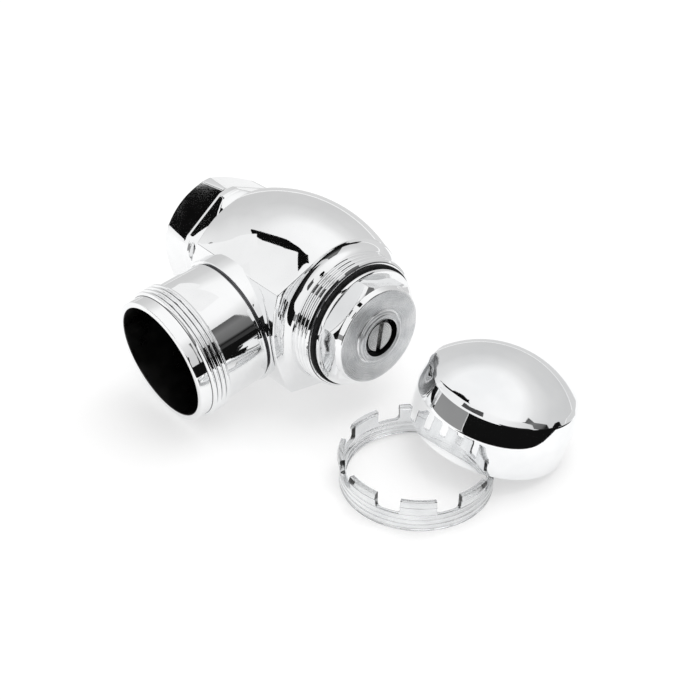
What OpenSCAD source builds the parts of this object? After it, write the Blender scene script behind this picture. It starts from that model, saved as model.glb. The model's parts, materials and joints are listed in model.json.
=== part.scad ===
// Angle stop valve with a hidden screwdriver adjuster, its clear snap sleeve and its domed cap.
// The valve's own axis is X: the inlet mouth is at the origin facing -X, the bonnet towards +X.
// The valve lies on its barrel and outlet rim, so the outlet points to -Y and a little down.
// Stations along X are measured from the outlet axis, which is inlet_reach from the origin.

/* [Body] */
// Distance from the inlet mouth to the outlet axis
inlet_reach = 46; // [45.5:0.1:47]
// Distance from the valve axis to the outlet mouth
outlet_reach = 55.4; // [53:0.2:58]
// Largest radius of the barrel
barrel_r = 29.9; // [29.7:0.1:30.3]
// Radius of the long arc that gives the barrel its crown
barrel_crown_r = 60; // [56:1:66]
// Radius of the turned inlet collar at its mouth
inlet_collar_r = 22.2; // [21.8:0.1:22.6]
// Width across the wrench flats at the inlet
inlet_hex_af = 39.6; // [39:0.1:40]
// Wall radius of the one inch inlet pipe thread
inlet_thread_r = 15.3; // [15:0.1:15.6]

/* [Outlet] */
// Outer radius of the outlet tube
tube_r = 21.3; // [21:0.1:21.6]
// Radius of the outlet bore
outlet_bore_r = 19.3; // [19:0.1:19.5]
// Major radius of the outlet's male thread
outlet_thread_r = 22.4; // [22:0.1:22.6]

/* [Bonnet] */
// Major radius of the thread that takes the snap sleeve
collar_r = 22.4; // [22.2:0.1:22.6]
// Width across the flats of the bonnet's hexagon
bonnet_hex_af = 31.6; // [31:0.1:32]
// Radius of the bonnet's face
face_r = 16.4; // [16:0.1:16.8]

/* [Adjuster] */
// Turns of the adjusting screw from open to shut
screw_turns = 6; // [4:1:6]
// Pitch of the adjusting screw's thread
screw_pitch = 1.5; // [1:0.25:1.5]
// Width of the screwdriver slot
slot_w = 1.9; // [1.4:0.1:2.2]

/* [Sleeve and cap] */
// Outer radius of the snap sleeve
sleeve_r = 23.8; // [23.6:0.1:24]
// Height of the sleeve over its fingers
sleeve_h = 11; // [10.6:0.1:11.1]
// Number of snap fingers
fingers = 8; // [8]
// Largest outer radius of the cap
cap_r = 25.6; // [25.6:0.1:25.8]
// Height of the cap's wall up to the edge of its dome
cap_wall_h = 18.4; // [18:0.2:20]
// Rise of the dome above that edge
dome_h = 9.3; // [8.5:0.1:10]

/* [Hidden] */
$fn = 96;
cut = 1;        // how far a cutter runs past the face it cuts
fit = 0.05;     // radial gap between parts that are screwed or pressed together
run = 0.1;      // radial gap between parts that slide or turn

// Attitude of the valve and the level of the surface that it lies on
valve_roll = 8;
floor_z = -barrel_r;

// Barrel and collar
barrel_x = 2;
front_x = 24;
thread_pitch = 1.7;
collar_ridges = 4;
collar_end_x = front_x + 9.7;
ridge_h = 0.9;
cove_r = 3.4;
neck_x = -25.3;
neck_groove_r = 4;
neck_r = 21.3;
inlet_collar_end_r = 23.3;
mouth_r = 19.1;
hex_end_x = -31.8;
run_out_af = inlet_hex_af + 2.8;

// Pad between barrel and outlet tube
pad_back_x = -20.5;
pad_up = 20.6;
pad_down = 19.4;
pad_crown_y = 27.8;
pad_crown_r = 50.4;
blend_steps = 14;
blend_sink = 0.15;

// Outlet stations, measured from the valve axis
outlet_thread_start = outlet_reach - 10.9;
outlet_ridges = 4;
outlet_boss_r = 22;
outlet_boss_l = 28;
outlet_bore_l = 33;
outlet_port_r = 14;

// Inside of the body
inlet_thread_l = 18;
inlet_port_r = 9.7;
seat_floor_x = -17.5;
seat_r = 12.5;
chamber_floor_x = -13.5;
chamber_r = 17;
bonnet_thread_r = 18.6;
bonnet_start_x = 18;

// Seat and the washer that shuts on it
seat_lip_x = -12.5;
travel = screw_turns * screw_pitch;
seat_gap = 0.3;
washer_x = seat_lip_x + seat_gap + travel;
washer_l = 3;
washer_r = 11.6;
plate_l = 1;
plate_r = 5.5;
washer_screw_r = 2;
holder_x = washer_x + washer_l + fit;
holder_l = 2.45;
holder_r = 12;
stem_r = 5;
stem_end_x = 9.5;
check_travel = 2.2;
check_pin_x = 7.6;
check_pin_r = 1;

// Plunger, its guide and its seal
plunger_x = 10;
plunger_end_x = 28;
plunger_r = 12.4;
nose_x = holder_x + holder_l + check_travel + 0.3;
nose_r = 8.6;
thread_floor_x = 13.5;
guide_r = 15;
guide_x = 3;
guide_end_x = 32;
guide_slot_end_x = 15.6;
guide_pin_x = 13;
guide_pin_r = 1.4;
guide_pin_in = 9;
guide_pin_out = 14.6;
ring_x = 26;
ring_wire_r = 0.95;

// Check spring, a coil about the plunger's nose
spring_r = 10.3;
spring_wire_r = 0.65;
spring_turns = 4;
spring_steps = 16;
spring_sides = 8;
spring_x = holder_x + holder_l + spring_wire_r;
spring_end_x = plunger_x - spring_wire_r;

// Adjusting screw
screw_tip_x = 14;
screw_thread_r = 4.2;
shank_r = 5;
flange_x = 31.2;
flange_l = 2;
flange_r = 7.8;
head_x = 42.6;
slot_depth = 2.4;
slot_turn = -16;
clip_x = 39.3;
clip_l = 0.8;
clip_in_r = 4.3;
clip_out_r = 6.2;
stem_ring_r = 4.1;
stem_ring_wire_r = 0.9;
stem_ring_xs = [35.6, 37.7];

// Bonnet
gasket_x = collar_end_x + fit;
gasket_l = 0.7;
gasket_r = 21;
bonnet_flange_x = gasket_x + gasket_l + fit;
bonnet_flange_l = 1.8;
bonnet_flange_r = 20.2;
bonnet_hex_end_x = 40;
face_x = 42.4;
boss_r = 8.7;
boss_end_x = 43.6;
recess_x = 39;
recess_r = 6.6;
shoulder_x = 34;
step_r = 8.3;
bonnet_tail_x = 20;

// Snap sleeve, standing beside the bonnet with its fingers up
sleeve_x = inlet_reach + 75.3;
sleeve_y = -13.8;
sleeve_turn = 2.3;
sleeve_root_r = 22.4;
sleeve_crest_r = 21.6;
finger_base_z = 5.7;
finger_deg = 26;
finger_barb = 0.6;
barb_h = 2;
slot_corner_r = 1.5;

// Cap, leaning with its rim on the sleeve's fingers and on the surface
cap_x = inlet_reach + 77.4;
cap_y = 14.7;
cap_tilt = 14.1;
cap_turn = 61.6;
rim_r = 25.3;
dome_edge_r = 24.2;
shoulder_h = 13.8;
cap_wall = 0.9;
cap_z = floor_z + rim_r * sin(cap_tilt);

// ---- helpers ----

// Rolls the valve's pieces into the attitude in which it lies and moves them to the row's origin
module lying() translate([inlet_reach, 0, 0]) rotate([valve_roll, 0, 0]) children();

// Solid of revolution about X from a flat outline drawn as radius across and X up
module turned() rotate([0, 90, 0]) rotate_extrude() children();

// Straight round bar along X
module bar(from, to, r) translate([from, 0, 0]) rotate([0, 90, 0]) cylinder(r = r, h = to - from);

// Tube along X
module pipe(from, to, outer, inner) difference() {
    bar(from, to, outer);
    bar(from - cut, to + cut, inner);
}

// Hexagonal bar along X with its corners up and down
module hex_bar(from, to, af) translate([from, 0, 0]) rotate([0, 90, 0])
    cylinder(r = af / 2 / cos(30), h = to - from, $fn = 6);

// Round bar along the outlet's own axis, from the valve axis outwards
module outlet_bar(from, to, r) rotate([90, 0, 0]) translate([0, 0, from]) cylinder(r = r, h = to - from);

// Ridges of a male thread, to be turned about an axis that they start from
module ridges(count, start, crest) for (i = [0 : count - 1])
    translate([0, start + i * thread_pitch]) polygon([
        [crest - ridge_h - cut, -0.25], [crest - ridge_h - cut, thread_pitch - 0.25],
        [crest - ridge_h, thread_pitch - 0.25], [crest, 1], [crest, 0.45], [crest - ridge_h, -0.25]]);

// Seal ring of round section about X
module seal(x, r, wire_r) turned() translate([r, x]) circle(r = wire_r, $fn = 32);

// ---- valve body ----

// Radius of the barrel at a station along X
function barrel_at(x) = barrel_r - barrel_crown_r + sqrt(pow(barrel_crown_r, 2) - pow(x - barrel_x, 2));

// Distance of the crowned pad from the valve axis at a height z
function pad_at(z) = pad_crown_y - pad_crown_r + sqrt(pow(pad_crown_r, 2) - z * z);

module barrel() turned() intersection() {
    translate([barrel_r - barrel_crown_r, barrel_x]) circle(r = barrel_crown_r, $fn = 180);
    translate([0, neck_x]) square([barrel_r + cut, front_x - neck_x]);
}

// Collar with a bevelled mouth, flats for the wrench and shallower flats where these run out
module inlet_collar() intersection() {
    turned() polygon([
        [0, -inlet_reach], [mouth_r, -inlet_reach],
        [inlet_collar_r, -inlet_reach + inlet_collar_r - mouth_r],
        [inlet_collar_end_r, neck_x], [inlet_collar_end_r, neck_x + 4], [0, neck_x + 4]]);
    union() {
        hex_bar(-inlet_reach - cut, hex_end_x, inlet_hex_af);
        hex_bar(hex_end_x, neck_x, run_out_af);
        bar(neck_x, neck_x + 4, barrel_r);
    }
}

// Rounded groove between the collar and the barrel
module neck_groove() turned() translate([neck_r + neck_groove_r, neck_x]) circle(r = neck_groove_r);

// Flank that runs from one edge of the pad and meets the barrel's curve almost without a crease
module pad_flank(z) {
    corner_r = norm([pad_at(z), z]);
    corner_a = atan2(z, pad_at(z));
    x0 = neck_x + 2;
    rows = [for (i = [0 : blend_steps]) let (
        x = x0 + (front_x - x0) * i / blend_steps,
        r = barrel_at(x) - blend_sink,
        a = corner_a + acos(r / corner_r) * sign(z)
    ) each [[x, -pad_at(z), z], [x, -r * cos(a), r * sin(a)], [x, -chamber_r / 2, 0]]];
    wraps = [for (i = [0 : blend_steps - 1], k = [0 : 2]) let (
        a = 3 * i + k, b = 3 * i + (k + 1) % 3, c = b + 3, d = a + 3
    ) each (z > 0 ? [[a, b, c], [a, c, d]] : [[c, b, a], [d, c, a]])];
    last = 3 * blend_steps;
    ends = z > 0 ? [[2, 1, 0], [last, last + 1, last + 2]] : [[0, 1, 2], [last + 2, last + 1, last]];
    polyhedron(rows, concat(wraps, ends));
}

// Crowned pad with its flanks, trimmed behind by a turned slope down to the neck
module outlet_pad() intersection() {
    union() {
        translate([neck_x, 0, 0]) rotate([90, 0, 90]) linear_extrude(front_x - neck_x) intersection() {
            translate([pad_crown_r - pad_crown_y, 0]) circle(r = pad_crown_r, $fn = 180);
            translate([-pad_crown_y - cut, -pad_down]) square([pad_crown_y + cut, pad_up + pad_down]);
        }
        pad_flank(pad_up);
        pad_flank(-pad_down);
    }
    turned() polygon([
        [0, neck_x], [neck_r, neck_x], [neck_r + 17, pad_back_x + 9], [neck_r + 17, front_x], [0, front_x]]);
}

// Concave flare from the barrel's front edge down to the collar
module cove() turned() difference() {
    translate([chamber_r, front_x - cut]) square([collar_r + cove_r - chamber_r, cove_r + cut]);
    translate([collar_r + cove_r, front_x + cove_r]) circle(r = cove_r);
}

module bonnet_collar() {
    bar(front_x - cut, collar_end_x, collar_r - ridge_h);
    turned() ridges(collar_ridges, collar_end_x - collar_ridges * thread_pitch - 0.3, collar_r);
}

module outlet_tube() {
    outlet_bar(0, outlet_reach, tube_r);
    outlet_bar(0, outlet_boss_l, outlet_boss_r);
    rotate([90, 0, 0]) rotate_extrude() ridges(outlet_ridges, outlet_thread_start, outlet_thread_r);
}

module valve_body() color("silver") lying() difference() {
    union() {
        difference() {
            union() {
                barrel();
                inlet_collar();
            }
            neck_groove();
        }
        outlet_pad();
        cove();
        bonnet_collar();
        outlet_tube();
    }
    bar(-inlet_reach - cut, inlet_thread_l - inlet_reach, inlet_thread_r);
    bar(inlet_thread_l - inlet_reach - cut, seat_floor_x + cut, inlet_port_r);
    bar(seat_floor_x, chamber_floor_x + cut, seat_r);
    bar(chamber_floor_x, bonnet_start_x + cut, chamber_r);
    bar(bonnet_start_x, collar_end_x + cut, bonnet_thread_r);
    outlet_bar(0, outlet_reach - outlet_bore_l + cut, outlet_port_r);
    outlet_bar(outlet_reach - outlet_bore_l, outlet_reach + cut, outlet_bore_r);
}

module seat_ring() color("goldenrod") lying()
    pipe(seat_floor_x, seat_lip_x, seat_r - fit, inlet_port_r);

// ---- bonnet and what is fixed in it ----

module bonnet() color("gainsboro") lying() difference() {
    union() {
        bar(bonnet_tail_x, bonnet_flange_x + cut, bonnet_thread_r - fit);
        bar(bonnet_flange_x, bonnet_flange_x + bonnet_flange_l, bonnet_flange_r);
        intersection() {
            hex_bar(bonnet_flange_x, face_x, bonnet_hex_af);
            turned() polygon([
                [0, bonnet_flange_x], [bonnet_flange_r, bonnet_flange_x],
                [bonnet_flange_r, bonnet_hex_end_x - 1.2], [face_r + 1.5, bonnet_hex_end_x],
                [face_r, face_x], [0, face_x]]);
        }
        bar(face_x - cut, boss_end_x, boss_r);
    }
    bar(bonnet_tail_x - cut, guide_end_x + fit, guide_r + fit);
    bar(guide_end_x, shoulder_x, step_r);
    bar(shoulder_x - cut, recess_x + cut, shank_r + fit);
    bar(recess_x, boss_end_x + cut, recess_r);
}

module bonnet_gasket() color("dimgray") lying()
    pipe(gasket_x, gasket_x + gasket_l, gasket_r, bonnet_thread_r + fit);

module friction_washer() color("ivory") lying()
    pipe(flange_x + flange_l + fit, shoulder_x - fit, flange_r, shank_r + run);

module plunger_guide() color("goldenrod") lying() difference() {
    pipe(guide_x, guide_end_x, guide_r, plunger_r + run);
    translate([guide_x - cut, -guide_pin_r - run, -guide_r - cut])
        cube([guide_slot_end_x - guide_x + cut, 2 * (guide_pin_r + run), 2 * (guide_r + cut)]);
}

// ---- adjusting screw ----

module adjusting_screw() color("silver") lying() difference() {
    union() {
        bar(screw_tip_x, flange_x + cut, screw_thread_r);
        bar(flange_x, flange_x + flange_l, flange_r);
        bar(flange_x, head_x, shank_r);
    }
    for (x = stem_ring_xs)
        pipe(x - stem_ring_wire_r - fit, x + stem_ring_wire_r + fit, shank_r + cut,
            stem_ring_r - stem_ring_wire_r - fit);
    pipe(clip_x - fit, clip_x + clip_l + fit, shank_r + cut, clip_in_r - fit);
    rotate([slot_turn, 0, 0]) translate([head_x - slot_depth, -slot_w / 2, -shank_r - cut])
        cube([slot_depth + cut, slot_w, 2 * (shank_r + cut)]);
}

module screw_ring_outer() color("black") lying() seal(stem_ring_xs[1], stem_ring_r, stem_ring_wire_r);

module screw_ring_inner() color("black") lying() seal(stem_ring_xs[0], stem_ring_r, stem_ring_wire_r);

module retaining_clip() color("slategray") lying() difference() {
    pipe(clip_x, clip_x + clip_l, clip_out_r, clip_in_r);
    rotate([slot_turn, 0, 0]) translate([clip_x - cut, 0, -1.5]) cube([clip_l + 2 * cut, clip_out_r + cut, 3]);
}

// ---- plunger ----

module plunger() color("darkgoldenrod") lying() difference() {
    union() {
        bar(plunger_x, plunger_end_x, plunger_r);
        bar(nose_x, plunger_x + cut, nose_r);
    }
    bar(nose_x - cut, stem_end_x + check_travel + 0.3, stem_r + run);
    bar(thread_floor_x, plunger_end_x + cut, screw_thread_r + run);
    pipe(ring_x - ring_wire_r - fit, ring_x + ring_wire_r + fit, plunger_r + cut,
        plunger_r - 2 * ring_wire_r);
    for (side = [0, 180])
        rotate([side, 0, 0]) translate([guide_pin_x, 0, guide_pin_in - fit])
            cylinder(r = guide_pin_r + fit, h = plunger_r);
    translate([check_pin_x, 0, 0]) rotate([90, 0, 0])
        cylinder(r = check_pin_r + fit, h = 2 * nose_r + cut, center = true);
}

module plunger_ring() color("black") lying()
    seal(ring_x, plunger_r + run / 2 - ring_wire_r, ring_wire_r);

module guide_pins() color("slategray") lying() for (side = [0, 180])
    rotate([side, 0, 0]) translate([guide_pin_x, 0, guide_pin_in])
        cylinder(r = guide_pin_r, h = guide_pin_out - guide_pin_in);

module check_pin() color("slategray") lying() translate([check_pin_x, 0, 0]) rotate([90, 0, 0])
    cylinder(r = check_pin_r, h = 2 * nose_r - 0.4, center = true);

// One ring of points of the spring wire, at step i along the coil
function wire_ring(i) = let (
    turn = 360 * i / spring_steps,
    x = spring_x + (spring_end_x - spring_x) * i / (spring_turns * spring_steps)
) [for (k = [0 : spring_sides - 1]) let (
    a = 360 * k / spring_sides,
    r = spring_r + spring_wire_r * cos(a)
) [x + spring_wire_r * sin(a), r * cos(turn), r * sin(turn)]];

module check_spring() color("lightsteelblue") lying() {
    last = spring_turns * spring_steps;
    n = spring_sides;
    points = [for (i = [0 : last]) each wire_ring(i)];
    sides = [for (i = [0 : last - 1], k = [0 : n - 1])
        [i * n + k, (i + 1) * n + k, (i + 1) * n + (k + 1) % n, i * n + (k + 1) % n]];
    ends = [[for (k = [0 : n - 1]) k], [for (k = [n - 1 : -1 : 0]) last * n + k]];
    polyhedron(points, concat(sides, ends));
}

// ---- seat washer and its holder, which float on the plunger's nose ----

module washer_holder() color("goldenrod") lying() difference() {
    union() {
        bar(holder_x, holder_x + holder_l, holder_r);
        bar(holder_x, stem_end_x, stem_r);
    }
    bar(holder_x - cut, holder_x + 4.5, washer_screw_r + fit);
    translate([check_pin_x - check_pin_r - run - check_travel, -stem_r - cut, -check_pin_r - run])
        cube([check_travel + 2 * (check_pin_r + run), 2 * (stem_r + cut), 2 * (check_pin_r + run)]);
}

module seat_washer() color("black") lying()
    pipe(washer_x, washer_x + washer_l, washer_r, washer_screw_r + fit);

module washer_plate() color("goldenrod") lying()
    pipe(washer_x - fit - plate_l, washer_x - fit, plate_r, washer_screw_r + fit);

module washer_screw() color("slategray") lying() difference() {
    union() {
        bar(washer_x - plate_l - 2 * fit - 1.8, washer_x - plate_l - 2 * fit, 3.4);
        bar(washer_x - plate_l - 2 * fit - cut, holder_x + 4.2, washer_screw_r);
    }
    translate([washer_x - plate_l - 3, -0.5, -4]) cube([1.1, 1, 8]);
}

// ---- snap sleeve ----

// Gap between two fingers, with rounded corners at its foot
module finger_gap() {
    half = sleeve_r * sin((360 / fingers - finger_deg) / 2);
    side = half - slot_corner_r;
    foot = finger_base_z + slot_corner_r;
    translate([sleeve_crest_r - 2, 0, 0]) rotate([90, 0, 90]) linear_extrude(sleeve_r - sleeve_crest_r + 4)
        polygon([
            [-half, sleeve_h + cut],
            for (a = [180 : 22.5 : 270]) [slot_corner_r * cos(a) - side, foot + slot_corner_r * sin(a)],
            for (a = [270 : 22.5 : 360]) [slot_corner_r * cos(a) + side, foot + slot_corner_r * sin(a)],
            [half, sleeve_h + cut]]);
}

module sleeve_wall() rotate_extrude() polygon([
    [sleeve_root_r, 0], [sleeve_r, 0], [sleeve_r, sleeve_h - barb_h],
    [sleeve_r + finger_barb, sleeve_h - barb_h], [sleeve_r, sleeve_h], [sleeve_root_r, sleeve_h]]);

// Crests of the internal thread that grips the bonnet collar
module sleeve_thread() rotate_extrude() for (i = [0 : 2])
    translate([0, 0.5 + i * thread_pitch]) polygon([
        [sleeve_root_r + fit, 0], [sleeve_crest_r, 0.5], [sleeve_crest_r, 0.8], [sleeve_root_r + fit, 1.3]]);

module snap_sleeve() color("aliceblue", 0.5)
    translate([sleeve_x, sleeve_y, floor_z]) rotate([0, 0, sleeve_turn]) {
        difference() {
            sleeve_wall();
            for (i = [0 : fingers - 1])
                rotate([0, 0, (i + 0.5) * 360 / fingers]) finger_gap();
        }
        sleeve_thread();
    }

// ---- cap ----

// Flat outline of the cap, solid to the axis, drawn in by the given wall
module cap_outline(wall) {
    edge_r = dome_edge_r - wall;
    rise = dome_h;
    ball_r = (dome_edge_r * dome_edge_r + rise * rise) / (2 * rise) - wall;
    top_z = cap_wall_h + rise - wall;
    polygon([
        [0, -cut * wall], [rim_r - wall, -cut * wall], [rim_r - wall, 0], [cap_r - wall, shoulder_h - 5],
        [cap_r - wall, shoulder_h], [edge_r, cap_wall_h - wall], [0, cap_wall_h - wall]]);
    intersection() {
        translate([0, top_z - ball_r]) circle(r = ball_r, $fn = 180);
        translate([0, cap_wall_h - wall - 0.01]) square([edge_r, rise + cut]);
    }
}

module cap_shell() color("silver")
    translate([cap_x, cap_y, cap_z]) rotate([0, cap_tilt, cap_turn]) difference() {
        rotate_extrude() cap_outline(0);
        rotate_extrude() cap_outline(cap_wall);
    }

valve_body();
seat_ring();
bonnet();
bonnet_gasket();
friction_washer();
plunger_guide();
adjusting_screw();
screw_ring_outer();
screw_ring_inner();
retaining_clip();
plunger();
plunger_ring();
guide_pins();
check_pin();
check_spring();
washer_holder();
seat_washer();
washer_plate();
washer_screw();
snap_sleeve();
cap_shell();
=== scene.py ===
"""Looks of the angle stop valve with its snap sleeve and domed cap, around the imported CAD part.

The valve's own frame has X along the valve axis, counted from the outlet axis, in millimetres.
The row frame is that frame rolled 8 degrees about X and moved 46 mm along X, in metres.
"""

import json
import math

import bmesh
import bpy
import numpy as np
from mathutils import Matrix, Vector


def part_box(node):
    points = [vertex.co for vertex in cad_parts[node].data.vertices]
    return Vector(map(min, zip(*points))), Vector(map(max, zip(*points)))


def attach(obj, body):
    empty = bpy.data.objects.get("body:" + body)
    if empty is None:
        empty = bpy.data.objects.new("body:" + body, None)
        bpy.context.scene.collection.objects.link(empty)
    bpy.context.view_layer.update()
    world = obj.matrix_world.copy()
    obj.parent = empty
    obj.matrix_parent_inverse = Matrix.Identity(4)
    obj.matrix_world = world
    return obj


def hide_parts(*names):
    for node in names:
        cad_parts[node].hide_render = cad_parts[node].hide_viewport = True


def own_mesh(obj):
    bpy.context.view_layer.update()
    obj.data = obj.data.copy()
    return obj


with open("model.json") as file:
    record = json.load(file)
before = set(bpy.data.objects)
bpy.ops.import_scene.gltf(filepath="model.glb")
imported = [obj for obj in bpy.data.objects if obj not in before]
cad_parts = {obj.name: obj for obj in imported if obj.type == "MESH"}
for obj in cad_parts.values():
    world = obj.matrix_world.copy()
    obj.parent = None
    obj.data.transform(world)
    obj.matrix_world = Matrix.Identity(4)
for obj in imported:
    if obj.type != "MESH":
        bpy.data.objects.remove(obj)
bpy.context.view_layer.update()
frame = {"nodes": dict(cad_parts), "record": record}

ROLL = math.radians(8)
REACH = 46.0            # from the inlet's end to the outlet axis
FLOOR_Z = -29.9
PITCH = 1.7             # of every thread
MM = 0.001
WELD = 2e-6             # vertices closer than this, in metres, are one
SIXTH = math.pi / 3     # one side of a hexagon
THIN_FLAT = 0.002       # half angle of a flat where the round section lies inside the hexagon


# ---- mesh helpers ----

def add_object(name, data):
    """Puts mesh, light or camera data into the scene."""
    obj = bpy.data.objects.new(name, data)
    bpy.context.scene.collection.objects.link(obj)
    return obj


def clean(mesh, angle, turn_outwards=False):
    """Welds and smooths a mesh, with sharp edges where faces meet at more than the angle."""
    bm = bmesh.new()
    bm.from_mesh(mesh)
    bmesh.ops.remove_doubles(bm, verts=bm.verts, dist=WELD)
    bmesh.ops.dissolve_degenerate(bm, edges=bm.edges, dist=WELD / 2)
    bmesh.ops.delete(bm, geom=[v for v in bm.verts if not v.link_faces], context="VERTS")
    if turn_outwards:
        bmesh.ops.recalc_face_normals(bm, faces=bm.faces)
    bm.to_mesh(mesh)
    bm.free()
    mesh.shade_smooth()
    mesh.set_sharp_from_angle(angle=math.radians(angle))


def to_row(points):
    """Valve frame in millimetres to row frame in metres."""
    p = np.asarray(points, float)
    c, s = math.cos(ROLL), math.sin(ROLL)
    x, y, z = p[..., 0], p[..., 1], p[..., 2]
    return np.stack([x + REACH, y * c - z * s, y * s + z * c], -1) * MM


def mesh_object(name, verts, faces, material, angle=32):
    """Mesh in the row frame, in metres, with its faces turned outwards."""
    mesh = bpy.data.meshes.new(name)
    mesh.from_pydata([tuple(v) for v in verts], [], [tuple(f) for f in faces])
    clean(mesh, angle, turn_outwards=True)
    if material:
        mesh.materials.append(material)
    return add_object(name, mesh)


def paint(obj, material, test):
    """Gives a material to the faces whose centre, in the valve's own frame, passes the test."""
    obj.data.materials.append(material)
    index = len(obj.data.materials) - 1
    c, s = math.cos(ROLL), math.sin(ROLL)
    for poly in obj.data.polygons:
        p = poly.center / MM
        if test(p.x - REACH, p.y * c + p.z * s, p.z * c - p.y * s):
            poly.material_index = index


def grid_faces(rows, cols):
    """Quads of a grid that wraps around both ways."""
    faces = []
    for i in range(rows):
        j = (i + 1) % rows
        for k in range(cols):
            m = (k + 1) % cols
            faces.append((i * cols + k, i * cols + m, j * cols + m, j * cols + k))
    return faces


def smin(a, b, k):
    """The smaller of two lengths, with the corner between them rounded over k."""
    h = np.maximum(k - np.abs(a - b), 0) / k
    return np.minimum(a, b) - h * h * k / 4


def smax(a, b, k):
    """The larger of two lengths, rounded in the same way."""
    return -smin(-a, -b, k)


def rounded(points, radius, steps=4, closed=True):
    """Polyline with each corner cut by a small arc-like curve."""
    n = len(points)
    out = []
    for i in range(n):
        p = np.array(points[i], float)
        if not closed and i in (0, n - 1):
            out.append(tuple(p))
            continue
        a, b = np.array(points[i - 1], float), np.array(points[(i + 1) % n], float)
        la, lb = np.linalg.norm(a - p), np.linalg.norm(b - p)
        r = min(radius, la * 0.45, lb * 0.45)
        s, e = p + (a - p) / la * r, p + (b - p) / lb * r
        for t in np.linspace(0, 1, steps + 1):
            out.append(tuple((1 - t) ** 2 * s + 2 * t * (1 - t) * p + t ** 2 * e))
    return out


def ring_at(x, r, a):
    """Points about X at one station; r is one radius or one per angle."""
    return np.stack([np.full_like(a, x), r * np.cos(a), r * np.sin(a)], -1)


def lathe(name, profile, material, segments, place, angle=32):
    """Closed ring about X from (station, radius) points, then put in place."""
    a = np.linspace(0, 2 * math.pi, segments, endpoint=False)
    pts = place(np.concatenate([ring_at(x, r, a) for x, r in profile]))
    return mesh_object(name, pts, grid_faces(len(profile), segments), material, angle)


def hex_angles(half, flat_cols, strip_cols):
    """Angles of one turn whose columns follow the edges between six flats and the round strips."""
    out = []
    for side in range(6):
        mid = side * SIXTH
        out.append(mid + np.linspace(-half, half, flat_cols, endpoint=False))
        out.append(mid + np.linspace(half, SIXTH - half, strip_cols, endpoint=False))
    return np.concatenate(out)


def from_flat(a):
    """Angle from the middle of the nearest side of a hexagon."""
    return (a + SIXTH / 2) % SIXTH - SIXTH / 2


def hex_ring(x, r, across, flat_cols, strip_cols):
    """Round section with six flats at the distance across from the axis."""
    half = math.acos(min(across / r, 1)) if r > across else THIN_FLAT
    a = hex_angles(max(half, THIN_FLAT), flat_cols, strip_cols)
    off = from_flat(a)
    return ring_at(x, np.minimum(np.where(np.abs(off) <= half + 1e-9, across / np.cos(off), r), r), a)


# ---- materials ----

def new_material(name):
    """A new material, its node tree and its Principled node."""
    mat = bpy.data.materials.new(name)
    mat.use_nodes = True
    nt = mat.node_tree
    return mat, nt, nt.nodes["Principled BSDF"]


def link(nt, a, b):
    nt.links.new(a, b)


def object_coords(nt):
    """Object coordinates in millimetres."""
    coords = nt.nodes.new("ShaderNodeTexCoord")
    mapping = nt.nodes.new("ShaderNodeMapping")
    mapping.inputs["Scale"].default_value = (1 / MM, 1 / MM, 1 / MM)
    link(nt, coords.outputs["Object"], mapping.inputs["Vector"])
    return mapping.outputs["Vector"]


def noise(nt, vec, scale, detail=3.0, rough=0.5):
    n = nt.nodes.new("ShaderNodeTexNoise")
    n.inputs["Scale"].default_value = scale
    n.inputs["Detail"].default_value = detail
    n.inputs["Roughness"].default_value = rough
    link(nt, vec, n.inputs["Vector"])
    return n.outputs["Fac"]


def spread(nt, value, lo, hi, out_lo, out_hi):
    """Maps a value from one range to another, and holds it inside."""
    m = nt.nodes.new("ShaderNodeMapRange")
    for key, v in (("From Min", lo), ("From Max", hi), ("To Min", out_lo), ("To Max", out_hi)):
        m.inputs[key].default_value = v
    link(nt, value, m.inputs["Value"])
    return m.outputs["Result"]


def tint(nt, fac, dark, light, lo=0.35, hi=0.65):
    """Colour that runs from dark to light as the factor goes from lo to hi."""
    r = nt.nodes.new("ShaderNodeValToRGB")
    r.color_ramp.elements[0].position = lo
    r.color_ramp.elements[0].color = (*dark, 1)
    r.color_ramp.elements[1].position = hi
    r.color_ramp.elements[1].color = (*light, 1)
    link(nt, fac, r.inputs["Fac"])
    return r.outputs["Color"]


def bump(nt, height, strength, distance, base=None):
    """Normal with a relief in it, on top of another one if given."""
    b = nt.nodes.new("ShaderNodeBump")
    b.inputs["Strength"].default_value = strength
    b.inputs["Distance"].default_value = distance
    link(nt, height, b.inputs["Height"])
    if base is not None:
        link(nt, base, b.inputs["Normal"])
    return b.outputs["Normal"]


def metal(name, dark, light, rough_lo, rough_hi, wave=0.05, grain=0.02):
    """Metal with a wavy surface, fine grain and patches of handling marks."""
    mat, nt, bsdf = new_material(name)
    vec = object_coords(nt)
    bsdf.inputs["Metallic"].default_value = 1.0
    link(nt, tint(nt, noise(nt, vec, 0.05, 3), dark, light), bsdf.inputs["Base Color"])
    smudge = noise(nt, vec, 0.11, 5, 0.6)
    link(nt, spread(nt, smudge, 0.35, 0.7, rough_lo, rough_hi), bsdf.inputs["Roughness"])
    n1 = bump(nt, noise(nt, vec, 0.12, 1), wave, 0.0006)
    n2 = bump(nt, noise(nt, vec, 2.2, 4, 0.65), grain, 0.00008, n1)
    link(nt, n2, bsdf.inputs["Normal"])
    return mat


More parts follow.
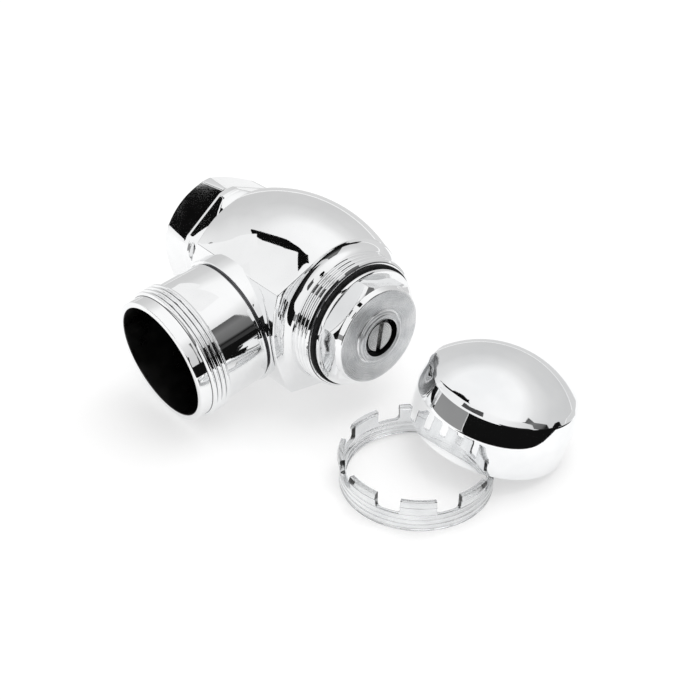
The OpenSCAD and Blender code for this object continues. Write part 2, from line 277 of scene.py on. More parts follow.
def turned_face(name, dark, light, rough_lo, rough_hi):
    """Metal with fine turning rings about the valve's axis."""
    mat, nt, bsdf = new_material(name)
    vec = object_coords(nt)
    bsdf.inputs["Metallic"].default_value = 1.0
    sep = nt.nodes.new("ShaderNodeSeparateXYZ")
    link(nt, vec, sep.inputs["Vector"])
    comb = nt.nodes.new("ShaderNodeCombineXYZ")
    link(nt, sep.outputs["Y"], comb.inputs["X"])
    link(nt, sep.outputs["Z"], comb.inputs["Y"])
    length = nt.nodes.new("ShaderNodeVectorMath")
    length.operation = "LENGTH"
    link(nt, comb.outputs["Vector"], length.inputs[0])
    ring = nt.nodes.new("ShaderNodeTexNoise")
    ring.noise_dimensions = "1D"
    ring.inputs["Scale"].default_value = 3.2
    ring.inputs["Detail"].default_value = 4.0
    link(nt, length.outputs["Value"], ring.inputs["W"])
    link(nt, tint(nt, noise(nt, vec, 0.2, 4), dark, light), bsdf.inputs["Base Color"])
    link(nt, spread(nt, ring.outputs["Fac"], 0.3, 0.7, rough_lo, rough_hi), bsdf.inputs["Roughness"])
    n1 = bump(nt, ring.outputs["Fac"], 0.35, 0.00006)
    n2 = bump(nt, noise(nt, vec, 3.0, 4, 0.7), 0.12, 0.00005, n1)
    link(nt, n2, bsdf.inputs["Normal"])
    return mat


def rubber(name, dark, light, rough_lo, rough_hi, grain=0.25):
    """Dull rubber, fibre or plastic with a grainy skin."""
    mat, nt, bsdf = new_material(name)
    vec = object_coords(nt)
    bsdf.inputs["Specular IOR Level"].default_value = 0.15
    link(nt, tint(nt, noise(nt, vec, 0.6, 5, 0.6), dark, light), bsdf.inputs["Base Color"])
    link(nt, spread(nt, noise(nt, vec, 0.9, 4), 0.3, 0.7, rough_lo, rough_hi), bsdf.inputs["Roughness"])
    link(nt, bump(nt, noise(nt, vec, 4.0, 5, 0.7), grain, 0.00008), bsdf.inputs["Normal"])
    return mat


def clear(name):
    """Clear plastic with slightly uneven walls and rubbed patches."""
    mat, nt, bsdf = new_material(name)
    vec = object_coords(nt)
    bsdf.inputs["Transmission Weight"].default_value = 1.0
    bsdf.inputs["IOR"].default_value = 1.46
    link(nt, tint(nt, noise(nt, vec, 0.12, 3), (0.74, 0.75, 0.76), (0.87, 0.88, 0.885)),
         bsdf.inputs["Base Color"])
    link(nt, spread(nt, noise(nt, vec, 0.5, 5, 0.6), 0.3, 0.75, 0.02, 0.14), bsdf.inputs["Roughness"])
    n1 = bump(nt, noise(nt, vec, 0.35, 2), 0.12, 0.0002)
    link(nt, bump(nt, noise(nt, vec, 3.0, 4), 0.05, 0.00005, n1), bsdf.inputs["Normal"])
    return mat


CHROME = metal("chrome_body", (0.86, 0.865, 0.87), (0.93, 0.935, 0.94), 0.02, 0.06, 0.025)
# Painted shade: near-black metal laid into the thread roots and the groove at the tube's foot, darkening
# these creases
ROOT_SHADE = metal("thread_root_shade", (0.05, 0.05, 0.055), (0.16, 0.16, 0.165), 0.15, 0.40, 0.04, 0.10)
# Painted shade: near-black metal laid inside the bores and recesses, for the dark within them
BORE_SHADE = metal("bore_shade", (0.03, 0.03, 0.03), (0.09, 0.088, 0.085), 0.22, 0.45, 0.04, 0.15)
CAP_CHROME = metal("chrome_cap", (0.84, 0.85, 0.86), (0.93, 0.935, 0.94), 0.015, 0.05, 0.03)
SATIN = turned_face("satin_bonnet", (0.60, 0.61, 0.62), (0.74, 0.745, 0.75), 0.22, 0.36)
SCREW = turned_face("screw_brass", (0.50, 0.50, 0.50), (0.68, 0.68, 0.67), 0.18, 0.34)
BRASS = metal("brass", (0.62, 0.44, 0.20), (0.80, 0.60, 0.30), 0.18, 0.38, 0.05, 0.10)
STEEL = metal("pin_steel", (0.50, 0.50, 0.51), (0.66, 0.66, 0.67), 0.15, 0.32, 0.04, 0.08)
SPRING = metal("spring_steel", (0.42, 0.42, 0.44), (0.58, 0.58, 0.60), 0.16, 0.34, 0.04, 0.08)
GASKET = rubber("gasket", (0.004, 0.004, 0.004), (0.016, 0.016, 0.017), 0.5, 0.75, 0.5)
SEAL = rubber("seal_rubber", (0.010, 0.010, 0.011), (0.030, 0.030, 0.032), 0.35, 0.6)
SEAT = rubber("seat_rubber", (0.018, 0.018, 0.020), (0.05, 0.05, 0.055), 0.5, 0.75)
SLIP = rubber("slippery_plastic", (0.72, 0.71, 0.67), (0.86, 0.85, 0.80), 0.25, 0.45, 0.1)
CLEAR = clear("clear_plastic")
SLOTS = {"chrome_body": CHROME, "chrome_cap": CAP_CHROME, "satin_bonnet": SATIN, "screw_brass": SCREW,
         "brass": BRASS, "pin_steel": STEEL, "spring_steel": SPRING, "gasket": GASKET,
         "seal_rubber": SEAL, "seat_rubber": SEAT, "slippery_plastic": SLIP, "clear_plastic": CLEAR}

for entry in frame["record"]["subparts"]:
    data = frame["nodes"][entry["node"]].data
    data.materials.clear()
    data.materials.append(SLOTS[entry["material_slot"]])


# ---- valve body ----

BARREL_R, BARREL_CROWN_R, BARREL_X = 29.9, 60.0, 2.0
GROOVE_X, GROOVE_R, GROOVE_AXIS_R = -25.3, 4.0, 25.3
PAD_CROWN_R, PAD_CROWN_Y = 50.4, 27.8
PAD_EDGE_UP = (31.17, math.radians(41.36))      # radius and angle of the pad's straight edges
PAD_EDGE_DOWN = (30.80, math.radians(39.05))
PAD_HALF_TURN = math.radians(110)
PAD_FOOT_R, PAD_RISE = 21.3, 17 / 13.8          # of the pad's slope towards the inlet
INLET_X, CHAMFER_X, CHAMFER_R = -46.0, -42.9, 22.2
COLLAR_TAPER = 1.1 / 17.6
FLAT_HALF = 19.8        # half across the wrench flats
HEX_LAND_HALF = 21.2    # half across the flats of the land behind them
SEAT_BORE_R, CHAMBER_R, BONNET_BORE_R = 9.7, 17.0, 18.6
FRONT_X = 24.0          # where the barrel ends at the front
COLLAR_ROOT_R, RIDGE_R = 21.5, 22.4
COVE_R = 3.4            # of the hollow between barrel and bonnet collar
COLLAR_END_X = 33.7


def barrel_at(x):
    """Radius of the slightly barrelled body."""
    return BARREL_R - BARREL_CROWN_R + np.sqrt(BARREL_CROWN_R ** 2 - (x - BARREL_X) ** 2)


def groove_at(x):
    """Radius of the round groove between inlet collar and barrel."""
    return GROOVE_AXIS_R - math.sqrt(max(GROOVE_R ** 2 - (x - GROOVE_X) ** 2, 0))


def crown_at(phi):
    """Radius of the pad's crowned face."""
    behind = PAD_CROWN_R - PAD_CROWN_Y
    return -behind * np.cos(phi) + np.sqrt((behind * np.cos(phi)) ** 2 + PAD_CROWN_R ** 2 - behind ** 2)


def body_section(x, phi):
    """Radius of barrel, groove and pad at a station; phi is counted from the outlet's side upwards."""
    ring = float(barrel_at(x))
    wide = ring - 0.05
    pad = crown_at(phi)
    for (reach, corner), angle in ((PAD_EDGE_UP, phi), (PAD_EDGE_DOWN, -phi)):
        tangent = corner + math.acos(min(wide / reach, 1))
        flank = np.where(angle < tangent, wide / np.cos(np.minimum(tangent - angle, 1.4)), wide)
        pad = smin(pad, flank, 0.32)
    pad = np.where(np.abs(phi) > PAD_HALF_TURN, 0, pad)
    slope = PAD_FOOT_R + (x - GROOVE_X) * PAD_RISE
    pad = smin(pad, np.full_like(pad, slope), 0.5)
    if x < GROOVE_X + GROOVE_R + 0.1:
        ring = min(ring, groove_at(x))
    return smax(pad, np.full_like(pad, ring), 0.12)


def collar_turned(x):
    """Radius of the inlet collar before its flats are cut."""
    if x < CHAMFER_X:
        return CHAMFER_R + x - CHAMFER_X
    return CHAMFER_R + (x - CHAMFER_X) * COLLAR_TAPER


def ridges(start, count):
    """Thread ridges one pitch apart as (station, radius) points."""
    out = []
    for i in range(count):
        x = start + i * PITCH
        out += [(x, COLLAR_ROOT_R), (x + 0.7, RIDGE_R), (x + 1.25, RIDGE_R)]
    return out


def body_shell():
    """Body without its tube: one turned grid whose columns follow the wrench flats."""
    flat_cols, strip_cols = 26, 34
    groove_lip_r = 22.9
    base = hex_angles(math.acos(HEX_LAND_HALF / groove_lip_r), flat_cols, strip_cols)
    cols = len(base)
    rings = []

    def even(x, r):
        rings.append(ring_at(x, r, base))

    def hexed(x, across):
        rings.append(hex_ring(x, collar_turned(x), across, flat_cols, strip_cols))

    # Inside, from the collar's end back to the mouth, then the outside to the front
    crest_r, root_r = 15.3, 15.9
    inside = [(COLLAR_END_X, BONNET_BORE_R), (18, BONNET_BORE_R), (18, CHAMBER_R), (-13.5, CHAMBER_R),
              (-13.5, 12.5), (-17.5, 12.5), (-17.5, SEAT_BORE_R), (-28, SEAT_BORE_R), (-28, root_r),
              (-28.4, root_r)]
    for x, r in rounded(inside, 0.15, 2, closed=False):
        even(x, r)
    for i in range(9):
        x = -28.6 - i * 1.9
        for dx, r in ((0, root_r), (-0.75, crest_r), (-1.05, crest_r), (-1.8, root_r)):
            even(x + dx, r)
    for x, r in ((-45.7, 16.1), (-45.95, 16.5), (INLET_X, 16.8), (INLET_X, 18.75), (-45.93, 19.0),
                 (-45.8, 19.25)):
        even(x, r)
    for x in (-45.5, -45.29, *np.linspace(-45.2, -43.1, 12), -42.98, -42.82, *np.linspace(-42, -32.2, 12)):
        hexed(float(x), FLAT_HALF)
    for x, across in ((-32.0, FLAT_HALF), (-31.86, 19.86), (-31.8, 20.1), (-31.78, 20.9), (-31.7, 21.13)):
        hexed(x, across)
    for x in (-31.5, -30.6, -29.7, -29.45):
        hexed(x, HEX_LAND_HALF)
    # Groove between collar and barrel, with softened edges
    land = np.minimum(HEX_LAND_HALF / np.cos(from_flat(base)), 24)
    for x in np.linspace(-29.28, -25.88, 16)[1:]:
        even(x, np.minimum(float(smin(groove_at(x), groove_lip_r, 0.3)), land))
    # Columns for the barrel, denser at the pad's corners
    phi = np.radians(np.concatenate([
        np.linspace(start, end, count, endpoint=False) for start, end, count in (
            (-180, -62, 84), (-62, -44, 26), (-44, -34, 40), (-34, 36, 60), (36, 46, 40), (46, 64, 26),
            (64, 180, 84))]))
    turned = (math.pi - phi) % (2 * math.pi)
    order = np.argsort(turned)
    phi, turned = phi[order], turned[order]

    def barrel_ring(x, grow=0.0, floor=0.0):
        rings.append(ring_at(x, np.maximum(body_section(x, phi) + grow, floor), turned))

    stations = np.concatenate([
        np.linspace(-25.2, -21.6, 25), [-21.5, -21.42, -21.36, -21.3, -21.22, -21.1, -20.9],
        np.linspace(-20.7, -15.6, 34), np.linspace(-15.2, 22.8, 58), [23.2, 23.5, 23.66]])
    for x in stations:
        barrel_ring(float(x))
    # Rounded front edge, then the hollow and the collar's ridges
    for back, grow, floor in ((0.20, -0.05, 25.6), (0.09, -0.13, 25.6), (0.03, -0.24, 25.58),
                              (0, -0.38, 25.56)):
        barrel_ring(FRONT_X - back, grow, floor)
    for t in np.radians(np.linspace(5, 84, 18)):
        rings.append(ring_at(FRONT_X + COVE_R * (1 - math.cos(t)), 25.8 - COVE_R * math.sin(t), turned))
    profile = [(27.2, RIDGE_R), (27.6, RIDGE_R)] + ridges(28.05, 3)
    profile += [(33.15, COLLAR_ROOT_R), (COLLAR_END_X, COLLAR_ROOT_R), (COLLAR_END_X, BONNET_BORE_R)]
    for x, r in rounded(profile, 0.18, 3, closed=False)[:-1]:
        rings.append(ring_at(x, r, turned))
    return to_row(np.concatenate(rings)), grid_faces(len(rings), cols)


def outlet_place(points):
    """Pieces turned about X go to the outlet's own axis, with X outwards."""
    p = np.asarray(points, float)
    return to_row(np.stack([p[:, 1], -p[:, 0], p[:, 2]], -1))


def drum(name, profile, place):
    """Closed solid of revolution with both ends on the axis."""
    segments = 160
    a = np.linspace(0, 2 * math.pi, segments, endpoint=False)
    verts = [np.array([[profile[0][0], 0, 0]])]
    verts += [ring_at(x, r, a) for x, r in profile[1:-1]]
    verts.append(np.array([[profile[-1][0], 0, 0]]))
    n = len(profile) - 2
    faces = [(0, 1 + k, 1 + (k + 1) % segments) for k in range(segments)]
    for i in range(n - 1):
        o = 1 + i * segments
        for k in range(segments):
            m = (k + 1) % segments
            faces.append((o + k, o + segments + k, o + segments + m, o + m))
    last, o = 1 + n * segments, 1 + (n - 1) * segments
    faces += [(last, o + (k + 1) % segments, o + k) for k in range(segments)]
    return mesh_object(name, place(np.concatenate(verts)), faces, None)


def cut_away(obj, tool):
    """Takes the tool's room out of the object and removes the tool."""
    mod = obj.modifiers.new("cut", "BOOLEAN")
    mod.operation = "DIFFERENCE"
    mod.solver = "EXACT"
    mod.object = tool
    bpy.context.view_layer.update()
    graph = bpy.context.evaluated_depsgraph_get()
    mesh = bpy.data.meshes.new_from_object(obj.evaluated_get(graph), depsgraph=graph)
    obj.modifiers.remove(mod)
    mesh.name = obj.name
    obj.data = mesh
    bpy.data.objects.remove(tool)
    clean(mesh, 32)


PORT_R = 14.0
TUBE_R, TUBE_BORE_R, TUBE_ROOM_R = 21.3, 19.3, 20.4
TUBE_FROM, TUBE_TO = 22.38, 55.4
TUBE_THREAD_FROM, TUBE_THREAD_TO = 44.0, 52.0

body = mesh_object("valve_casting", *body_shell(), CHROME)
cut_away(body, drum("tube_room", [(2, 0), (2, PORT_R), (22.4, PORT_R), (22.4, TUBE_ROOM_R), (60, TUBE_ROOM_R),
                                  (60, 0)], outlet_place))


def tube_profile():
    """Boss, turned groove at the tube's foot, plain tube, ridges and mouth."""
    profile = [(TUBE_FROM, TUBE_BORE_R), (TUBE_FROM, 21.9), (27.9, 21.95)]
    profile += [(28.05, 21.85), (28.12, 21.5), (28.2, 20.95), (28.35, 20.75), (28.6, 20.72), (28.8, 20.85),
                (28.95, 21.12), (29.1, 21.26), (29.3, TUBE_R), (TUBE_THREAD_FROM, TUBE_R)]
    thread = [(TUBE_THREAD_FROM, TUBE_R), *ridges(TUBE_THREAD_FROM + 0.25, 4), (51.05, TUBE_R),
              (TUBE_THREAD_TO, TUBE_R)]
    profile += rounded(thread, 0.18, 3, closed=False)[1:-1]
    mouth = [(TUBE_THREAD_TO, TUBE_R), (TUBE_TO, TUBE_R), (TUBE_TO, TUBE_BORE_R), (50, TUBE_BORE_R)]
    profile += rounded(mouth, 0.35, 4, closed=False)
    return profile + [(40, TUBE_BORE_R), (30, TUBE_BORE_R)]


tube = lathe("outlet_tube", tube_profile(), CHROME, 200, outlet_place)
# Painted shade in the outlet thread's roots and in the groove at the tube's foot
paint(tube, ROOT_SHADE, lambda x, y, z: (-51.2 < y < -44.3 and math.hypot(x, z) < 21.75)
      or (-29.0 < y < -28.0 and math.hypot(x, z) < 21.2))
# Painted shade inside the tube's bore
paint(tube, BORE_SHADE, lambda x, y, z: math.hypot(x, z) < TUBE_BORE_R + 0.15)
# Painted shade in the roots of the bonnet collar's ridges
paint(body, ROOT_SHADE, lambda x, y, z: 27.5 < x < 33.6 and 21.2 < math.hypot(y, z) < 21.75)
# Painted shade inside the body's bores and the room for the tube
paint(body, BORE_SHADE, lambda x, y, z: (x > -27 and y > -22.5 and math.hypot(y, z) < 18.9)
      or (-23 < y < -13 and math.hypot(x, z) < 20.6 and math.hypot(y, z) < 26))


# ---- bonnet ----

def bonnet_shell():
    """Bonnet from its hidden skirt to the face with the boss about the screw."""
    flat_cols, strip_cols = 16, 16
    flat_half, face_x = 15.8, 42.4
    base = hex_angles(math.acos(flat_half / 16.4), flat_cols, strip_cols)
    rings = []

    def outline(x):
        """Turned radius of the hexagon, which is chamfered towards the face."""
        return float(np.interp(x, [39.5, 40.5], [18.24, 16.75]))

    def hexed(x, across):
        rings.append(hex_ring(x, outline(x), across, flat_cols, strip_cols))

    def even(x, r):
        rings.append(ring_at(x, r, base))

    hidden = [(38.98, 5.05), (34, 5.05), (34, 8.3), (32.05, 8.3), (32.05, 15.05), (20, 15.05), (20, 18.55),
              (34.5, 18.55), (34.5, 20.2), (36.3, 20.2), (36.3, 18.9)]
    for x, r in rounded(hidden, 0.15, 2, closed=False):
        even(x, r)
    for x in (36.31, 37.0, 38.0, 39.0, 39.4, 39.5, 39.6, 39.75, 39.9, 40.1):
        hexed(x, flat_half)
    for x, across in ((40.2, 15.82), (40.26, 15.95), (40.34, 16.3), (40.42, 16.7)):
        hexed(x, across)
    for x, r in ((40.5, 16.75), (40.7, 16.68), (41.2, 16.56), (41.8, 16.42), (42.1, 16.34), (42.24, 16.27),
                 (42.34, 16.16), (face_x, 16.0)):
        even(x, r)
    boss = [(face_x, 15.6), (face_x, 9.6), (42.15, 9.4), (42.15, 9.0), (face_x, 8.7), (43.3, 8.7),
            (43.6, 8.2), (43.6, 7.6), (43.35, 7.4), (43.35, 7.0), (43.55, 6.6), (39, 6.6), (38.99, 5.1)]
    for x, r in rounded(boss, 0.16, 3, closed=False):
        even(x, r)
    return to_row(np.concatenate(rings)), grid_faces(len(rings), len(base))


bonnet = mesh_object("bonnet_head", *bonnet_shell(), CHROME, 25)
paint(bonnet, SATIN, lambda x, y, z: x > 42.3 and math.hypot(y, z) < 16.05)
# Painted shade in the bore about the adjusting screw
paint(bonnet, BORE_SHADE, lambda x, y, z: 38.5 < x < 43.3 and math.hypot(y, z) < 6.7)


# ---- snap sleeve ----

SLEEVE_AT = (REACH + 75.3, -13.8, FLOOR_Z)
SLEEVE_TURN = math.radians(2.3)
SLEEVE_H, RIM_TOP, RIM_FILLET_Z = 11.0, 5.7, 7.2
SLEEVE_R, SLEEVE_BORE_R = 23.8, 22.4
FINGERS = 8


def sleeve_place(points):
    p = np.asarray(points, float)
    c, s = math.cos(SLEEVE_TURN), math.sin(SLEEVE_TURN)
    x, y, z = p[:, 0], p[:, 1], p[:, 2]
    return np.stack([x * c - y * s + SLEEVE_AT[0], x * s + y * c + SLEEVE_AT[1], z + SLEEVE_AT[2]], -1) * MM


def sleeve_loop(top):
    """Closed outline of the sleeve's wall at one angle, cut down to the given height."""
    outer = [(22.75, 0.0), (23.55, 0.0), (23.74, 0.06), (SLEEVE_R, 0.25), (SLEEVE_R, 1.05), (23.72, 1.15),
             (23.72, 1.35), (SLEEVE_R, 1.45), (SLEEVE_R, 3.0), (SLEEVE_R, 5.5), (SLEEVE_R, 8.9), (23.88, 9.0),
             (24.3, 9.02), (24.39, 9.08), (24.38, 9.25), (23.92, 10.75), (23.82, 10.93), (23.66, SLEEVE_H),
             (22.6, SLEEVE_H), (22.44, 10.93), (SLEEVE_BORE_R, 10.75), (SLEEVE_BORE_R, 8.9),
             (SLEEVE_BORE_R, 5.6)]
    inner = []
    for i in (2, 1, 0):
        z = 0.5 + i * PITCH
        inner += [(SLEEVE_BORE_R, z + 1.35), (22.35, z + 1.3), (21.66, z + 0.84), (21.6, z + 0.74),
                  (21.6, z + 0.56), (21.66, z + 0.46), (22.35, z + 0.0), (SLEEVE_BORE_R, z - 0.05)]
    points = outer + inner + [(SLEEVE_BORE_R, 0.25), (22.48, 0.06)]
    return [(r, z) if z <= top else (min(r, SLEEVE_R) if z > 9.0 else r, top) for r, z in points]


def sleeve_mesh():
    """Ring whose top follows the fingers and the rounded gaps between them."""
    step = 360 / FINGERS
    half_gap, half_floor, corner = 9.5, 2.925, 3.65
    fall = RIM_FILLET_Z - RIM_TOP
    gap = [(half_gap - 0.02, RIM_FILLET_Z)]
    gap += [(half_gap - corner * (1 - math.cos(a)), RIM_FILLET_Z - fall * math.sin(a))
            for a in np.radians(np.linspace(0, 90, 7)[1:])]
    gap += [(half_floor, RIM_TOP)]
    tops = []
    for finger in range(FINGERS):
        mid = finger * step
        edge = step / 2 - half_gap
        tops += [(mid + d, SLEEVE_H) for d in np.linspace(-edge, edge, 15)]
        gap_mid = mid + step / 2
        tops += [(gap_mid - d, top) for d, top in gap]
        tops.append((gap_mid, RIM_TOP))
        tops += [(gap_mid + d, top) for d, top in reversed(gap)]
    verts = []
    for angle, top in tops:
        a = math.radians(angle)
        verts += [(r * math.cos(a), r * math.sin(a), z) for r, z in sleeve_loop(top)]
    return sleeve_place(verts), grid_faces(len(tops), len(sleeve_loop(SLEEVE_H)))


sleeve = mesh_object("clear_sleeve", *sleeve_mesh(), CLEAR, 38)


# ---- cap ----

CAP_TILT, CAP_TURN = math.radians(14.1), math.radians(61.6)
CAP_RIM_R, CAP_EDGE_R, DOME_H, CAP_TOP = 25.3, 24.2, 9.3, 27.7
DOME_WALL = 0.9
CAP_AT = Vector((REACH + 77.4, 14.7, FLOOR_Z + CAP_RIM_R * math.sin(CAP_TILT))) * MM
CAP_MATRIX = (Matrix.Translation(CAP_AT) @ Matrix.Rotation(CAP_TURN, 4, "Z")
              @ Matrix.Rotation(CAP_TILT, 4, "Y"))


def cap_place(points):
    """Pieces turned about X stand up on the cap's own axis."""
    return [CAP_MATRIX @ (Vector((p[1], p[2], p[0])) * MM) for p in points]


def cap_profile():
    """Wall that leans in towards the top, an edge, the dome, and the same again inside."""
    ball = (CAP_EDGE_R ** 2 + DOME_H ** 2) / (2 * DOME_H)
    widest, lean, ease = 25.59, 0.235, 0.9
    outer = [(0.0, 25.18), (0.05, 25.28), (0.2, 25.32), (3.0, 25.42), (7.0, 25.55), (9.6, widest)]
    outer += [(z, widest - lean * (z - 10.9 - ease * (1 - math.exp(-(z - 10.4) / ease))))
              for z in np.linspace(10.6, 17.9, 24)]
    edge = [(18.15, 24.0), (18.38, 23.86), (18.6, 23.62)]
    dome = [(CAP_TOP - ball + math.sqrt(ball ** 2 - r * r), r) for r in np.linspace(23.2, 0.02, 40)]
    outer += edge + dome
    inner = [(z - DOME_WALL, r) for z, r in dome[::-1] if r < 22.6]
    inner += [(17.5, 23.35), (16.4, 24.1), (14.8, 24.55), (13.0, 24.68), (8.8, 24.7), (3.0, 24.55),
              (0.2, 24.42), (0.05, 24.46), (0.0, 24.6)]
    return outer + inner


cap = lathe("domed_cap", cap_profile(), CAP_CHROME, 220, cap_place, 40)


# ---- who rides on what ----

for obj, parent, slot_name, nodes in (
        (body, "valve", "chrome_body", ("valve_body",)), (tube, "valve", "chrome_body", ()),
        (bonnet, "valve", "satin_bonnet", ("bonnet",)), (sleeve, "sleeve", "clear_plastic", ("snap_sleeve",)),
        (cap, "cap", "chrome_cap", ("cap_shell",))):
    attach(obj, parent)
    if nodes:
        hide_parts(*nodes)


# ---- check spring: the real one shortens as the washer group floats; this coil keeps one length and rides on the plunger ----

SPRING_TURNS, WIRE_R = 4, 0.65 * MM


def coil_mesh(low, high):
    """Round wire wound about the valve's axis inside a box, its ends closed."""
    around, steps = 12, SPRING_TURNS * 40
    coil_r = (high.z - low.z) / 2 - WIRE_R
    verts, faces = [], []
    for i in range(steps + 1):
        turn = 2 * math.pi * SPRING_TURNS * i / steps
        mid = low.x + WIRE_R + (high.x - low.x - 2 * WIRE_R) * i / steps
        for k in range(around):
            a = 2 * math.pi * k / around
            r = coil_r + WIRE_R * math.cos(a)
            verts.append((mid + WIRE_R * math.sin(a), r * math.cos(turn), r * math.sin(turn)))
    for i in range(steps):
        for k in range(around):
            n = (k + 1) % around
            faces.append((i * around + k, i * around + n, (i + 1) * around + n, (i + 1) * around + k))
    faces += [tuple(range(around)), tuple(steps * around + k for k in reversed(range(around)))]
    return verts, faces


spring_low, spring_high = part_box("check_spring")
spring = mesh_object("check_coil", *coil_mesh(spring_low, spring_high), SPRING)
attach(spring, "plunger")
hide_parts("check_spring")
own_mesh(spring)


# ---- studio ----
# Chrome shows its surroundings, so dark, grey and bright sheets stand around the object.
# Azimuth and elevation are in degrees, seen from the hub in the row frame.

HUB = Vector((0.06, -0.01, 0.0))
STAND_OFF, FAR_OFF = 1.2, 1.4
BLACK = 0.004


def card(name, corners, shade):
    """Flat or bent sheet that only mirrors see; the corners run along its two long edges by turns."""
    faces = [(i, i + 1, i + 3, i + 2) for i in range(0, len(corners) - 2, 2)]
    mesh = bpy.data.meshes.new(name)
    mesh.from_pydata([tuple(c) for c in corners], [], faces)
    mat, nt, bsdf = new_material(name + "_sheet")
    nt.nodes.remove(bsdf)
    glow = nt.nodes.new("ShaderNodeEmission")
    glow.inputs["Color"].default_value = (shade, shade, shade, 1)
    link(nt, glow.outputs["Emission"], nt.nodes["Material Output"].inputs["Surface"])
    mesh.materials.append(mat)
    obj = add_object(name, mesh)
    obj.visible_camera = False
    obj.visible_diffuse = False
    obj.visible_shadow = False
    obj.visible_volume_scatter = False
    return obj


def grey_ramp(nt, levels):
    """Colour ramp from (place, brightness) pairs, the first and the last being its ends."""
    node = nt.nodes.new("ShaderNodeValToRGB")
    ends = node.color_ramp.elements
    for where, level in levels[1:-1]:
        ends.new(where).color = (level, level, level, 1)
    for end, (where, level) in ((0, levels[0]), (-1, levels[-1])):
        ends[end].position = where
        ends[end].color = (level, level, level, 1)
    return node


def graded(obj, levels):
    """Brightness that changes with height over a sheet at the stand-off."""
    nt = obj.data.materials[0].node_tree
    coords = nt.nodes.new("ShaderNodeTexCoord")
    axes = nt.nodes.new("ShaderNodeSeparateXYZ")
    link(nt, coords.outputs["Object"], axes.inputs["Vector"])
    ramp = grey_ramp(nt, levels)
    link(nt, spread(nt, axes.outputs["Z"], 0, STAND_OFF, 0, 1), ramp.inputs["Fac"])
    link(nt, ramp.outputs["Color"], nt.nodes["Emission"].inputs["Color"])


def aim(az, el, reach):
    """Point at a distance from the hub."""
    a, e = math.radians(az), math.radians(el)
    return HUB + Vector((math.cos(e) * math.cos(a), math.cos(e) * math.sin(a), math.sin(e))) * reach


def band(name, path, halves, reach, shade):
    """Strip along (azimuth, elevation) points; its half width, in degrees, is one number or one per point."""
    if not isinstance(halves, list):
        halves = [halves] * len(path)
    corners = []
    for i, ((az, el), half) in enumerate(zip(path, halves)):
        here = aim(az, el, reach)
        ahead = aim(*path[min(i + 1, len(path) - 1)], reach) - aim(*path[max(i - 1, 0)], reach)
        side = (here - HUB).cross(ahead).normalized() * reach * math.tan(math.radians(half))
        corners += [here + side, here - side]
    card(name, corners, shade)


def table_sheet(name, first, last, inner, outer, shade, lift):
    """Part ring just over the table; its inner radius goes from one value to another along it."""
    middle = 0.08
    corners = []
    for a in range(first, last + 1, 6):
        c, s = math.cos(math.radians(a)), math.sin(math.radians(a))
        for r in (inner[0] + (inner[1] - inner[0]) * (a - first) / (last - first), outer):
            corners.append((middle + r * c, r * s, FLOOR_Z * MM + lift))
    card(name, corners, shade)


def shield(name, centre, across, up, corners):
    """Small bright sheet close to the object; corners are in millimetres across and up from its centre."""
    card(name, [Vector(centre) + (Vector(across) * p + Vector(up) * q) * MM for p, q in corners], 0.97)


def make_floor():
    """White paper just under the object, with a little light of its own."""
    z = FLOOR_Z * MM - 0.00002
    half = 3.0
    mesh = bpy.data.meshes.new("table")
    mesh.from_pydata([(-half, -half, z), (half, -half, z), (half, half, z), (-half, half, z)], [],
                     [(0, 1, 2, 3)])
    mat, nt, bsdf = new_material("table_paper")
    vec = object_coords(nt)
    link(nt, tint(nt, noise(nt, vec, 0.02, 3), (0.49, 0.49, 0.49), (0.51, 0.51, 0.51)),
         bsdf.inputs["Base Color"])
    link(nt, spread(nt, noise(nt, vec, 0.5, 3), 0.3, 0.7, 0.85, 0.95), bsdf.inputs["Roughness"])
    bsdf.inputs["Specular IOR Level"].default_value = 0.1
    bsdf.inputs["Emission Color"].default_value = (1, 1, 1, 1)
    bsdf.inputs["Emission Strength"].default_value = 0.50
    mesh.materials.append(mat)
    add_object("table", mesh)


def make_world():
    """Pale room that gets brighter upwards, and nearly white on the outlet's side."""
    world = bpy.data.worlds.new("studio")
    bpy.context.scene.world = world
    world.use_nodes = True
    nt = world.node_tree
    coords = nt.nodes.new("ShaderNodeTexCoord")
    axes = nt.nodes.new("ShaderNodeSeparateXYZ")
    link(nt, coords.outputs["Generated"], axes.inputs["Vector"])
    rise = grey_ramp(nt, ((0.0, 0.66), (0.45, 0.70), (0.68, 0.82), (0.82, 1.02), (1.0, 1.06)))
    link(nt, axes.outputs["Z"], rise.inputs["Fac"])
    mix = nt.nodes.new("ShaderNodeMix")
    mix.data_type = "RGBA"
    mix.inputs["B"].default_value = (0.98, 0.98, 0.98, 1)
    link(nt, spread(nt, axes.outputs["Y"], 0.1, -0.55, 0.0, 1.0), mix.inputs["Factor"])
    link(nt, rise.outputs["Color"], mix.inputs["A"])
    back = nt.nodes["Background"]
    link(nt, mix.outputs["Result"], back.inputs["Color"])
    back.inputs["Strength"].default_value = 1.0


def area(name, where, toward, size, power):
    """Square light that isn't seen in the chrome."""
    data = bpy.data.lights.new(name, "AREA")
    data.shape = "SQUARE"
    data.size = size
    data.energy = power
    obj = add_object(name, data)
    obj.location = where
    obj.rotation_euler = (Vector(toward) - Vector(where)).to_track_quat("-Z", "Y").to_euler()
    obj.visible_glossy = False


make_floor()
table_sheet("table_edge", -80, 40, (0.155, 0.100), 0.6, 0.006, 0.0006)
table_sheet("far_table", 40, 184, (0.12, 0.16), 0.9, 0.72, 0.0004)

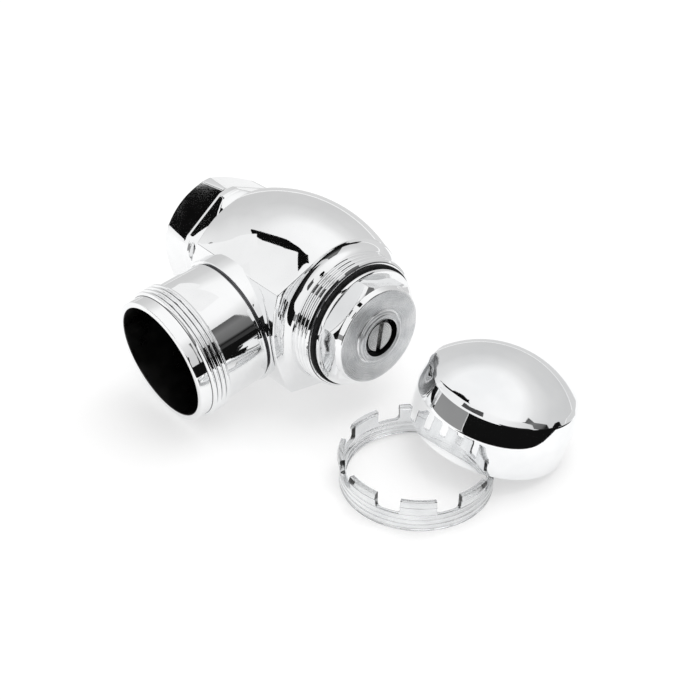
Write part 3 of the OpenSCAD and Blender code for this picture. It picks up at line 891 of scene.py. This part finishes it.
# Dark on the pad's upper side and on the wrench flat, kept from showing twice by two bright shields
band("dark_streak", [(-167, 38), (-163, 41.5), (-158.5, 48.5), (-155, 56.5), (-152, 64), (-140, 71),
                     (-118, 75), (-108, 78)], [0.4, 2.6, 4.2, 4.8, 5.0, 5.0, 4.6, 4.2], FAR_OFF, BLACK)
band("dark_flat", [(-156.6, 36.6), (-151.2, 36.6)], 2.5, FAR_OFF, BLACK)
shield("flank_shield", (0.0457, -0.0233, 0.0493), (-0.449, 0.893, 0), (0.77, 0.387, 0.507),
       [(-16, -20), (-0.5, -20), (-16, 13.5), (-2.2, 13.5)])
shield("pad_shield", (0.0214, -0.0332, 0.0378), (-0.438, 0.899, 0), (0.541, 0.264, 0.799),
       [(-8, -12), (7, -12), (-8, 12), (7, 12)])

# Band under the cap's dome: grey on the left, black on the camera's side
band("left_side", [(az, 1) for az in range(-140, -79, 6)], 6, 0.5, 0.30)
band("camera_side", [(az, 0.5) for az in range(-80, 49, 8)], 8.5, 0.55, 0.006)
band("upper_dark", [(-100, 52.5), (-85, 52.5), (-70, 52.5), (-52, 52)], 7.5, STAND_OFF, 0.08)
band("right_dark", [(az, 17) for az in (-36, -20, -4, 10)], 10, STAND_OFF, 0.02)

# Dark band along the outlet tube, with a black line low in it
tube_side = card("tube_side", [aim(az, el, STAND_OFF) for el in range(0, 45, 4) for az in (18, 35)], 0.05)
graded(tube_side, ((0.0, 0.05), (0.22, 0.04), (0.27, 0.008), (0.33, 0.14), (0.55, 0.20), (0.70, 0.10)))

make_world()
area("overhead", (0.15, 0.25, 0.9), (0.06, 0, 0), 0.7, 3.0)


# ---- camera ----

CAMERA_AT = Vector((0.3529, -0.2508, 0.2501))
VIEW = Vector((-0.608, 0.548, -0.574)).normalized()
SIDE = Vector((0.662, 0.749, 0.014))

cam_data = bpy.data.cameras.new("photo_camera")
cam_data.lens = 72
cam_data.sensor_width = 36
cam_data.clip_start = 0.01
cam = add_object("photo_camera", cam_data)
right = (SIDE - VIEW * SIDE.dot(VIEW)).normalized()
up = right.cross(VIEW)
cam.matrix_world = Matrix((
    (right.x, up.x, -VIEW.x, CAMERA_AT.x), (right.y, up.y, -VIEW.y, CAMERA_AT.y),
    (right.z, up.z, -VIEW.z, CAMERA_AT.z), (0, 0, 0, 1)))
bpy.context.scene.camera = cam
bpy.context.scene.view_settings.view_transform = "Standard"
